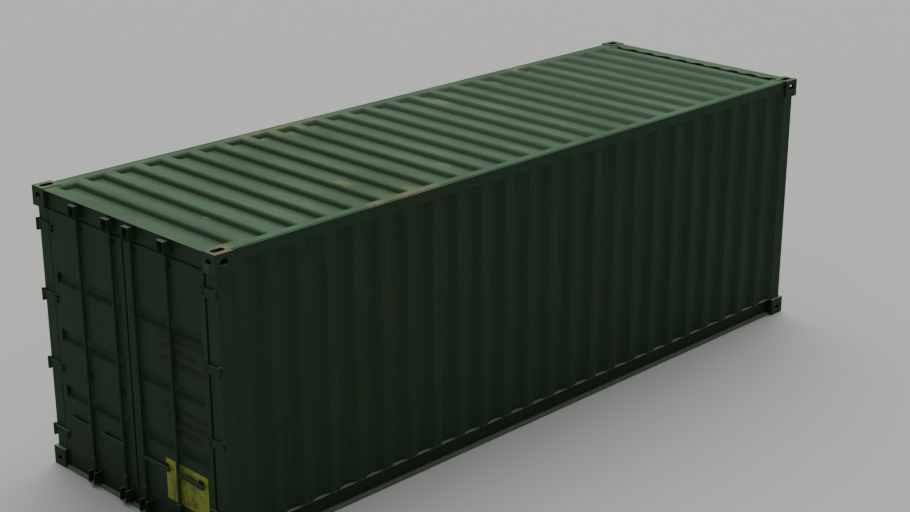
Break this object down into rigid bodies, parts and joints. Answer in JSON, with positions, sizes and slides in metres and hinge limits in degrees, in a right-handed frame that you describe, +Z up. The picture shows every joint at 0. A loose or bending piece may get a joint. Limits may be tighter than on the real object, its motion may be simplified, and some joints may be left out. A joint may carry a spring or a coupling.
{
  "type": "storage container",
  "caption": "Closed steel box container with corrugated sides, a ribbed roof, corner castings and a pair of end doors with lock rods.",
  "frame": {"origin": "centre of the base rectangle, on the ground", "axes": "+X to the right seen from the door end, +Y from the doors to the front end, +Z up"},
  "size_m": [2.438, 7.474, 2.54],
  "materials": {
    "green_paint": "matt olive-green paint, worn at the corners",
    "gear_paint": "matt olive-green paint over galvanised steel",
    "gasket_rubber": "matt black rubber",
    "floor_ply": "oiled hardwood plywood"
  },
  "bodies": {
    "frame_body": {"door_top_fittings": "green_paint", "door_bottom_fittings": "green_paint", "front_top_fittings": "green_paint", "front_bottom_fittings": "green_paint", "door_posts": "green_paint", "front_posts": "green_paint", "bottom_side_rails": "green_paint", "top_side_rails": "green_paint", "right_side_wall": "green_paint", "left_side_wall": "green_paint", "front_wall": "green_paint", "front_header": "green_paint", "front_header_plate": "green_paint", "front_sill": "green_paint", "door_header": "green_paint", "door_sill": "green_paint", "roof": "green_paint", "roof_door_sheet": "green_paint", "roof_front_sheet": "green_paint", "cross_members": "green_paint", "floor": "floor_ply", "hinge_lugs": "green_paint", "top_keepers": "gear_paint", "bottom_keepers": "gear_paint"},
    "right_door": {"right_door_frame": "green_paint", "right_door_panel": "green_paint", "right_door_gasket": "gasket_rubber", "right_hinge_blades": "gear_paint", "right_rod_guides": "gear_paint", "right_handle_rests": "gear_paint"},
    "right_inner_rod": {"right_inner_lock_rod": "gear_paint"},
    "right_inner_grip": {"right_inner_handle": "gear_paint"},
    "right_outer_rod": {"right_outer_lock_rod": "gear_paint"},
    "right_outer_grip": {"right_outer_handle": "gear_paint"},
    "left_door": {"left_door_frame": "green_paint", "left_door_panel": "green_paint", "left_door_gasket": "gasket_rubber", "left_hinge_blades": "gear_paint", "left_rod_guides": "gear_paint", "left_handle_rests": "gear_paint"},
    "left_inner_rod": {"left_inner_lock_rod": "gear_paint"},
    "left_inner_grip": {"left_inner_handle": "gear_paint"},
    "left_outer_rod": {"left_outer_lock_rod": "gear_paint"},
    "left_outer_grip": {"left_outer_handle": "gear_paint"}
  },
  "joints": [
    {"name": "right_door_hinge", "type": "hinge", "parent": "frame_body", "child": "right_door", "pos_m": [1.191, -3.685, 1.2], "axis": [0, 0, 1], "range_deg": [0, 265]},
    {"name": "right_inner_rod_turn", "type": "hinge", "parent": "right_door", "child": "right_inner_rod", "pos_m": [0.13862, -3.69, 1.2], "axis": [0, 0, 1], "range_deg": [-95, 0]},
    {"name": "right_inner_handle_lift", "type": "hinge", "parent": "right_inner_rod", "child": "right_inner_grip", "pos_m": [0.17263, -3.69, 0.53], "axis": [0, 1, 0], "range_deg": [-25, 0]},
    {"name": "right_outer_rod_turn", "type": "hinge", "parent": "right_door", "child": "right_outer_rod", "pos_m": [0.59653, -3.69, 1.2], "axis": [0, 0, 1], "range_deg": [-95, 0]},
    {"name": "right_outer_handle_lift", "type": "hinge", "parent": "right_outer_rod", "child": "right_outer_grip", "pos_m": [0.63053, -3.69, 0.53], "axis": [0, 1, 0], "range_deg": [-25, 0]},
    {"name": "left_door_hinge", "type": "hinge", "parent": "frame_body", "child": "left_door", "pos_m": [-1.191, -3.685, 1.2], "axis": [0, 0, -1], "range_deg": [0, 265]},
    {"name": "left_inner_rod_turn", "type": "hinge", "parent": "left_door", "child": "left_inner_rod", "pos_m": [-0.13862, -3.69, 1.2], "axis": [0, 0, -1], "range_deg": [-95, 0]},
    {"name": "left_inner_handle_lift", "type": "hinge", "parent": "left_inner_rod", "child": "left_inner_grip", "pos_m": [-0.17263, -3.69, 0.53], "axis": [0, -1, 0], "range_deg": [-25, 0]},
    {"name": "left_outer_rod_turn", "type": "hinge", "parent": "left_door", "child": "left_outer_rod", "pos_m": [-0.59653, -3.69, 1.2], "axis": [0, 0, -1], "range_deg": [-95, 0]},
    {"name": "left_outer_handle_lift", "type": "hinge", "parent": "left_outer_rod", "child": "left_outer_grip", "pos_m": [-0.63053, -3.69, 0.53], "axis": [0, -1, 0], "range_deg": [-25, 0]}
  ]
}
